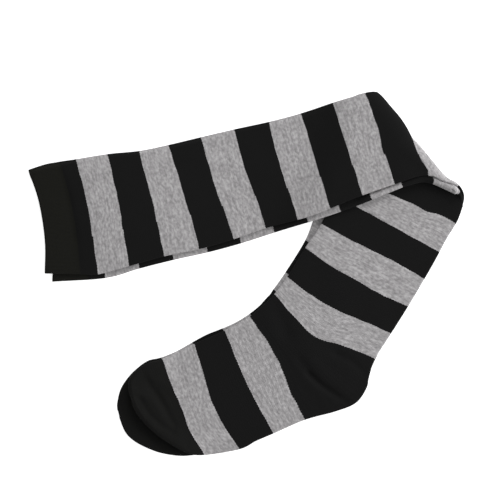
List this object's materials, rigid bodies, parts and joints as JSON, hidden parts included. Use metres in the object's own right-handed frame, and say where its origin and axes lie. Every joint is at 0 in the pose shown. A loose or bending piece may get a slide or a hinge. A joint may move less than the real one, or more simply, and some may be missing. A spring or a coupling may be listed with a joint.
{
  "type": "pair of over-the-knee socks",
  "caption": "Striped over-the-knee tube socks, a pair laid flat together and folded back at the knee.",
  "frame": {"origin": "centre of the bounding box in plan, on the surface the socks lie on", "axes": "+X to the right across the pair as laid out, +Y up the page towards the fold's upper corner, +Z off the surface"},
  "size_m": [0.3989, 0.3351, 0.0152],
  "materials": {
    "knit_inner": "fine cotton jersey knit in black and grey melange stripes",
    "knit_outer": "fine cotton jersey knit in grey melange and black stripes"
  },
  "bodies": {
    "root": {"inner_sock": "knit_inner", "outer_sock": "knit_outer"}
  },
  "joints": []
}
